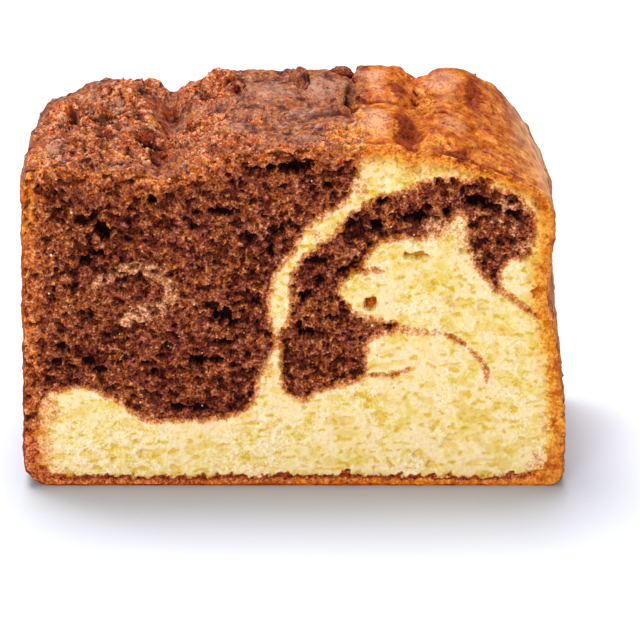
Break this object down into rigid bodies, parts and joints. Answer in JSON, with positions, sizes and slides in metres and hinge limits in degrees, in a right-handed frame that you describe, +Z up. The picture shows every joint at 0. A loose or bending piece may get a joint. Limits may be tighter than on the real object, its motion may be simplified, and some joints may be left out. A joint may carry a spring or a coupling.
{
  "type": "marble loaf cake slice",
  "caption": "Thick slice of marble loaf cake standing on its base, with a domed cracked crust and two flat cut faces of swirled cocoa and vanilla crumb.",
  "frame": {"origin": "middle of the flat base, halfway between the two cut faces", "axes": "+X across the loaf from the cocoa side to the vanilla side, +Y along the loaf away from the front cut, +Z up"},
  "size_m": [0.105, 0.05, 0.0712],
  "materials": {
    "crumb": "matt baked sponge, cocoa brown marbled with pale yellow vanilla, under a browned crust",
    "crust": "browned crust, satin golden brown over the vanilla batter and matt dark brown over the cocoa batter"
  },
  "bodies": {
    "root": {"cake": "crumb"}
  },
  "joints": []
}
